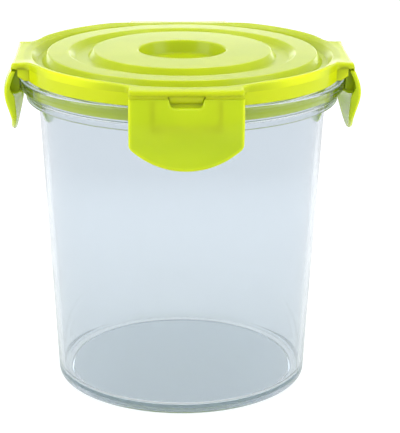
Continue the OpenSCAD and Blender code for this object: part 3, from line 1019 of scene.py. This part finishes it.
def make_film_hinge(side, angle):
    """Two thin webs from tab to flap."""
    bm = bmesh.new()
    for sign in (-1, 1):
        rows = [[bm.verts.new(p) for p in ring] for ring in web_rings(sign)]
        for a, b in zip(rows, rows[1:]):
            strip(bm, a, b)
        bm.faces.new(rows[0])
        bm.faces.new(rows[-1][::-1])
    turn_about_axis(bm, angle)
    piece = mesh_object("film_hinge_web_" + side, bm, CLIP_LIME)
    # Painted light: the webs' colour is brightened evenly.
    add_painted_light(piece, lambda p: WEB_PAINTED_LIGHT)
    middle = Vector((0, WEB_RECESS + WEB_T / 2 - HINGE_D, 0)) * MM
    middle.rotate(Matrix.Rotation(math.radians(angle), 3, "Z"))
    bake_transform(piece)
    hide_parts("film_hinge_" + side)


# Camera, as the photograph was taken, for an image of 400 by 433 pixels

IMAGE_H = 433
FOCAL_PIXELS = 1609.4
SENSOR = 36
CAMERA_AT = Vector((-18.435, -753.318, 321.851)) * MM
CAMERA_ALONG = Vector((0.034614, 0.950938, -0.307439))
CAMERA_ROLL = math.radians(0.384)


def make_camera():
    """The camera that was fitted to the photograph."""
    data = bpy.data.cameras.new("camera")
    data.sensor_fit = "VERTICAL"
    data.sensor_height = SENSOR
    data.lens = FOCAL_PIXELS * SENSOR / IMAGE_H
    data.clip_start = 0.05
    data.clip_end = 50
    camera = bpy.data.objects.new("camera", data)
    bpy.context.scene.collection.objects.link(camera)
    along = CAMERA_ALONG.normalized()
    level_right = along.cross(Vector((0, 0, 1))).normalized()
    level_up = level_right.cross(along)
    right = level_right * math.cos(CAMERA_ROLL) + level_up * math.sin(CAMERA_ROLL)
    up = level_up * math.cos(CAMERA_ROLL) - level_right * math.sin(CAMERA_ROLL)
    turn = Matrix((right, up, -along)).transposed()
    camera.matrix_world = Matrix.Translation(CAMERA_AT) @ turn.to_4x4()
    bpy.context.scene.camera = camera


# Floor, world and lamps: a plain bright studio

def make_floor():
    """A wide floor that looks white to the eye and dull to other rays, and keeps the shadow."""
    bm = bmesh.new()
    bmesh.ops.create_circle(bm, cap_ends=True, radius=8, segments=96)
    mesh = bpy.data.meshes.new("floor")
    bm.to_mesh(mesh)
    bm.free()
    floor = bpy.data.objects.new("floor", mesh)
    bpy.context.scene.collection.objects.link(floor)
    n = Nodes("pale_floor")
    rays = n.add("ShaderNodeLightPath").outputs
    seen = n.calc("MAXIMUM", rays["Is Camera Ray"], rays["Is Transmission Ray"])
    paint = n.add("ShaderNodeBsdfDiffuse", {"Color": linear(190, 192, 194)})
    lift = n.add("ShaderNodeEmission", {"Color": linear(255, 255, 255), "Strength": 0.62})
    both = n.add("ShaderNodeAddShader", {0: paint.outputs[0], 1: lift.outputs[0]})
    dull = n.add("ShaderNodeBsdfDiffuse", {"Color": linear(225, 225, 225)})
    out = n.add("ShaderNodeMixShader", {0: seen, 1: dull.outputs[0], 2: both.outputs[0]})
    n.add("ShaderNodeOutputMaterial", {"Surface": out.outputs[0]})
    mesh.materials.append(n.material)


def make_world():
    """White to the eye; mirrored it is white behind and grey in front, where the room is darker."""
    world = bpy.data.worlds.new("studio")
    world.use_nodes = True
    bpy.context.scene.world = world
    n = Nodes(tree=world.node_tree)
    rays = n.add("ShaderNodeLightPath").outputs
    seen = n.calc("MAXIMUM", rays["Is Camera Ray"], rays["Is Transmission Ray"])
    along = n.add("ShaderNodeTexCoord").outputs["Generated"]
    depth = n.add("ShaderNodeSeparateXYZ", {"Vector": along}).outputs["Y"]
    mirrored = n.ramp(depth, -0.6, 0.3, 0.5, 0.9)
    level = n.calc("MAXIMUM", seen, n.calc("MULTIPLY", rays["Is Glossy Ray"], mirrored))
    plain = n.add("ShaderNodeBackground", {"Color": linear(255, 255, 255), "Strength": level})
    ambient = n.add("ShaderNodeBackground", {"Color": linear(240, 242, 245), "Strength": 0.7})
    either = n.calc("MAXIMUM", seen, rays["Is Glossy Ray"])
    both = n.add("ShaderNodeMixShader", {0: either, 1: ambient.outputs[0], 2: plain.outputs[0]})
    n.add("ShaderNodeOutputWorld", {"Surface": both.outputs[0]})


# The point that every lamp faces, in metres
LAMP_AIM = Vector((0, 0, 0.09))


def softbox(name, azimuth, elevation, distance, width, height, power):
    """A square lamp that faces the object; azimuth 0 is the front, and 90 the right."""
    lamp = bpy.data.lights.new(name, "AREA")
    lamp.shape = "RECTANGLE"
    lamp.size = width
    lamp.size_y = height
    lamp.energy = power
    holder = bpy.data.objects.new(name, lamp)
    bpy.context.scene.collection.objects.link(holder)
    a = math.radians(azimuth)
    e = math.radians(elevation)
    away = Vector((math.sin(a) * math.cos(e), -math.cos(a) * math.cos(e), math.sin(e)))
    holder.location = LAMP_AIM + away * distance
    holder.rotation_euler = away.to_track_quat("Z", "Y").to_euler()
    holder.visible_transmission = False


make_camera()
make_floor()
make_world()
softbox("left_softbox", -65, 25, 1.4, 0.9, 1.2, 8)
softbox("right_softbox", 65, 25, 1.4, 0.9, 1.2, 8)
softbox("top_softbox", 180, 70, 1.5, 1.4, 1.0, 9)
softbox("back_softbox", 180, 12, 0.32, 0.6, 0.1, 0.34)

make_container()
make_lid()
make_gasket()
for side_name, side_angle in SIDES.items():
    make_clip(side_name, side_angle)
    make_film_hinge(side_name, side_angle)

bpy.context.scene.view_settings.view_transform = "Standard"
